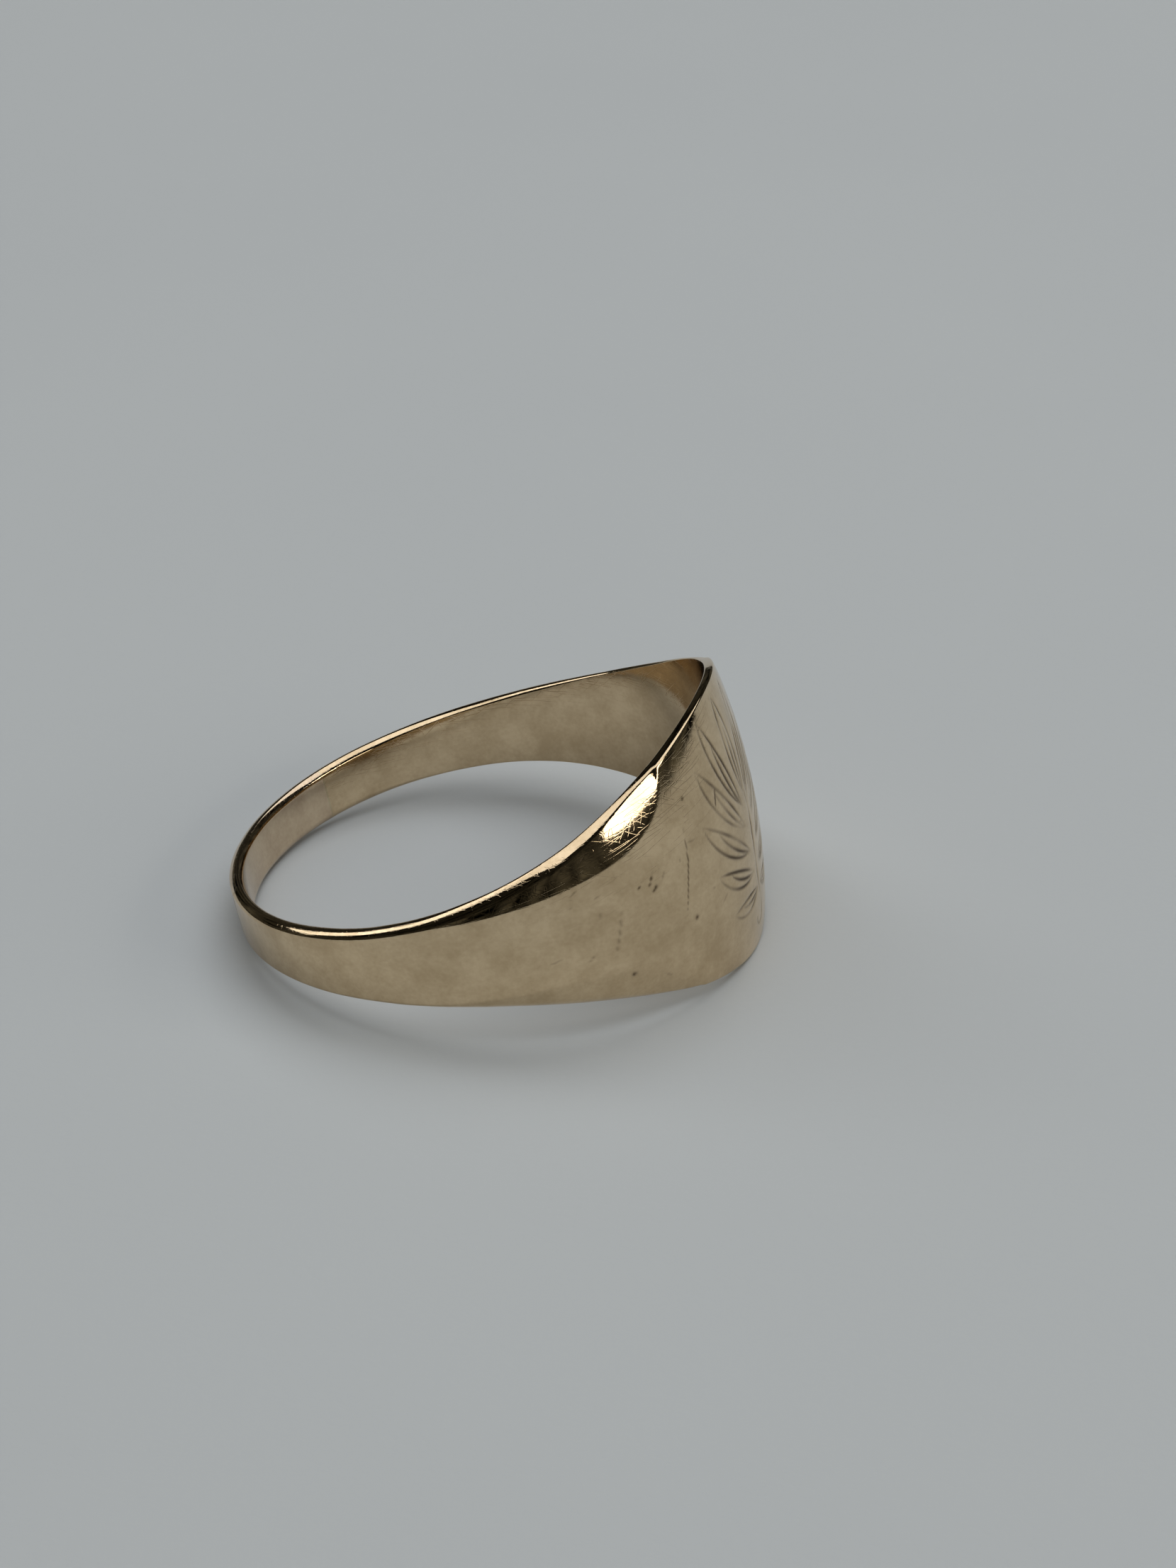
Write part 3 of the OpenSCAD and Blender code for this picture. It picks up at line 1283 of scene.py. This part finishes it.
@dataclass
class SignetRing:
    """The whole ring, as the bench jeweller would take it apart.

    Attributes:
        form: The ring's form.
        seam_w: Thickness of each solder seam, in mm.
        seam_sunk: How far the softer solder has worn below the gold, in mm.
        sizing_rows: Arc between rows of the sizing piece's grid, in mm.
    """

    form: RingForm
    seam_w: float = 0.06
    seam_sunk: float = 0.006
    sizing_rows: float = 0.12

    def build(self) -> list[bpy.types.Object]:
        """Builds, dresses and mounts the four pieces.

        Returns:
            The pieces.
        """
        surface = Surface(self.form)
        near, far = self.form.turn_of("solder_seam_near"), self.form.turn_of("solder_seam_far")
        near_again = near + 2 * math.pi
        even = (self.sizing_rows,) * 3
        blank = WallStretch("struck_blank", surface, near + self.half_seam, far - self.half_seam)
        let_in = WallStretch(
            "let_in_sizing_piece", surface, far + self.half_seam, near_again - self.half_seam, spacing=even
        )
        near_line = self._seam("near_solder_line", surface, near)
        far_line = self._seam("far_solder_line", surface, far)
        solder = HARD_SOLDER.material()
        return [
            self._mounted(blank, WORN_GOLD.material(), "signet_blank", "gold"),
            self._mounted(let_in, SIZING_GOLD.material(), "sizing_piece", "sizing_gold"),
            self._mounted(near_line, solder, "solder_seam_near", "gold_solder"),
            self._mounted(far_line, solder, "solder_seam_far", "gold_solder"),
        ]

    @property
    def half_seam(self) -> float:
        """Half the turn that a seam takes up."""
        return self.seam_w / 2 / self.form.bore_r

    def _seam(self, name: str, surface: Surface, middle: float) -> WallStretch:
        """Gives the stretch of wall that one solder seam fills.

        Args:
            name: Name of the piece.
            surface: The worn surface.
            middle: Turn of the seam's middle.

        Returns:
            The stretch, worn a little below the gold.
        """
        start, end = middle - self.half_seam, middle + self.half_seam
        return WallStretch(name, surface, start, end, sunk=self.seam_sunk)

    @staticmethod
    def _mounted(
        stretch: WallStretch, finish: bpy.types.Material, node: str, slot: str
    ) -> bpy.types.Object:
        """Builds one stretch, dresses it and puts it in its CAD node's place.

        Args:
            stretch: The stretch of wall.
            finish: Its material.
            node: The CAD node that it stands for.
            slot: The record's material slot; not used.

        Returns:
            The piece.
        """
        piece = stretch.build()
        piece.data.materials.clear()
        piece.data.materials.append(finish)
        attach(piece, "root")
        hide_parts(node)
        log.info("%s: %d faces", piece.name, len(piece.data.polygons))
        return piece


# --------------------------------------------------------------------------------------------
# Studio
# --------------------------------------------------------------------------------------------


def direction(azimuth: float, elevation: float) -> Vector:
    """Unit vector from the ring towards a place in the studio.

    Args:
        azimuth: Degrees round the vertical, from +X towards +Y.
        elevation: Degrees above the table.

    Returns:
        The unit vector.
    """
    turn, rise = math.radians(azimuth), math.radians(elevation)
    return Vector((math.cos(rise) * math.cos(turn), math.cos(rise) * math.sin(turn), math.sin(rise)))


@dataclass(frozen=True)
class SoftLight:
    """One rectangular soft light that faces the ring.

    Attributes:
        name: Its name.
        azimuth: Degrees round the vertical, from +X towards +Y.
        elevation: Degrees above the table.
        distance: Distance from the ring, in metres.
        size: Width and height, in metres.
        radiance: Brightness of its face.
        tint: Its colour.
    """

    name: str
    azimuth: float
    elevation: float
    distance: float
    size: Point
    radiance: float
    tint: str

    def hang(self) -> bpy.types.Object:
        """Hangs the light, with power for its size.

        Returns:
            The light.
        """
        place = direction(self.azimuth, self.elevation) * self.distance
        bpy.ops.object.select_all(action="DESELECT")
        aim = place.to_track_quat("Z", "Y").to_euler()
        bpy.ops.object.light_add(type="AREA", location=place, rotation=aim)
        light = bpy.context.object
        light.name = self.name
        light.data.shape = "RECTANGLE"
        light.data.size, light.data.size_y = self.size
        light.data.color = linear(self.tint)[:3]
        light.data.energy = self.radiance * math.pi * self.size[0] * self.size[1]
        light.visible_camera = False
        return light


@dataclass(frozen=True)
class Studio:
    """Paper table, soft lights, a dim room and the camera.

    Attributes:
        paper_size: Side of the paper, in metres.
        room: Colour of the dim room.
        room_levels: Brightness of the room near the table and up high.
        room_rise: Heights between which the one gives way to the other, as shares of straight up.
        room_scale: How many patches of tone the room has across it.
        room_patches: Levels of the noise between which a patch goes from black to full brightness.
        lights: The soft lights.
        azimuth: Where the camera stands, in degrees from -Y towards +X.
        elevation: Height of the camera's line of sight, in degrees.
        distance: Distance from the camera to its aim, in metres.
        aim: Point that the camera looks at, in metres.
        focal_mm: Focal length, in mm.
        film_mm: Long side of the film, in mm.
        nearest_seen: Distance at which the camera starts to see, in metres.
    """

    paper_size: float = 2.4
    room: str = "#6C6B61"
    room_levels: Point = (0.62, 0.15)
    room_rise: Point = (0.1, 0.6)
    room_scale: float = 9.0
    room_patches: Point = (0.36, 0.7)
    lights: tuple[SoftLight, ...] = (
        SoftLight(
            name="overhead_softbox", azimuth=52, elevation=81, distance=0.6,
            size=(0.76, 0.88), radiance=1.36, tint="#F9FBFF",
        ),
        SoftLight(
            name="back_window", azimuth=163, elevation=40, distance=1.0,
            size=(0.34, 0.56), radiance=1.7, tint="#FBFCFF",
        ),
        SoftLight(
            name="side_window", azimuth=-9, elevation=24, distance=1.0,
            size=(0.64, 0.235), radiance=4.0, tint="#FFFAF0",
        ),
    )
    azimuth: float = 13.73
    elevation: float = 28.42
    distance: float = 0.13106
    aim: tuple[float, float, float] = (0.00340, 0.00179, 0.00171)
    focal_mm: float = 80.1
    film_mm: float = 36.0
    nearest_seen: float = 0.01

    def build(self, floor_height: float) -> None:
        """Lays the paper, hangs the lights and sets up the camera.

        Args:
            floor_height: Height that the ring stands on, in metres.
        """
        self._lay_paper(floor_height)
        self._dim_room()
        for light in self.lights:
            light.hang()
        self._place_camera()
        bpy.context.scene.view_settings.view_transform = "Standard"

    def _lay_paper(self, floor_height: float) -> None:
        """Lays the sheet that the ring stands on.

        Args:
            floor_height: Height of the sheet, in metres.
        """
        bpy.ops.object.select_all(action="DESELECT")
        bpy.ops.mesh.primitive_plane_add(size=self.paper_size, location=(0, 0, floor_height))
        paper = bpy.context.object
        paper.name = "paper"
        paper.data.materials.append(PaperFinish().material())

    def _dim_room(self) -> None:
        """Gives the room a dim, uneven tone that polished bevels pick up."""
        world = bpy.data.worlds.new("dim_room")
        bpy.context.scene.world = world
        world.use_nodes = True
        tree = world.node_tree
        tree.nodes.clear()
        place = add_node(tree, "ShaderNodeTexCoord", {}, {}).outputs["Generated"]
        uneven_inputs = {"Vector": place, "Scale": self.room_scale, "Detail": 5.0}
        uneven = add_node(tree, "ShaderNodeTexNoise", {}, uneven_inputs).outputs["Fac"]
        rise = add_node(tree, "ShaderNodeSeparateXYZ", {}, {"Vector": place}).outputs["Z"]
        low, high = self.room_levels
        from_table, to_ceiling = self.room_rise
        fall = {
            "Value": rise,
            "From Min": from_table,
            "From Max": to_ceiling,
            "To Min": low,
            "To Max": high,
        }
        brightest = add_node(tree, "ShaderNodeMapRange", {}, fall).outputs[0]
        black, full = self.room_patches
        levels = {"Value": uneven, "From Min": black, "From Max": full, "To Max": brightest}
        level = add_node(tree, "ShaderNodeMapRange", {}, levels).outputs[0]
        glow_inputs = {"Color": linear(self.room), "Strength": level}
        glow = add_node(tree, "ShaderNodeBackground", {}, glow_inputs).outputs[0]
        add_node(tree, "ShaderNodeOutputWorld", {}, {"Surface": glow})

    def _place_camera(self) -> None:
        """Stands the camera upright at its azimuth and elevation, and makes it the scene's."""
        back = direction(self.azimuth - 90, self.elevation)
        place = Vector(self.aim) + back * self.distance
        bpy.ops.object.camera_add(location=place, rotation=back.to_track_quat("Z", "Y").to_euler())
        camera = bpy.context.object
        camera.name = "camera"
        camera.data.lens = self.focal_mm
        camera.data.sensor_width = self.film_mm
        camera.data.clip_start = self.nearest_seen
        bpy.context.scene.camera = camera


def main() -> None:
    """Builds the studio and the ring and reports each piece."""
    logging.basicConfig(level=logging.INFO, format="%(name)s %(message)s")
    Studio().build(floor_height=cad_bounds[0][2])
    pieces = SignetRing(RingForm.from_frame(frame["record"])).build()
    log.info("built %d pieces", len(pieces))


if __name__ == "__main__":
    main()
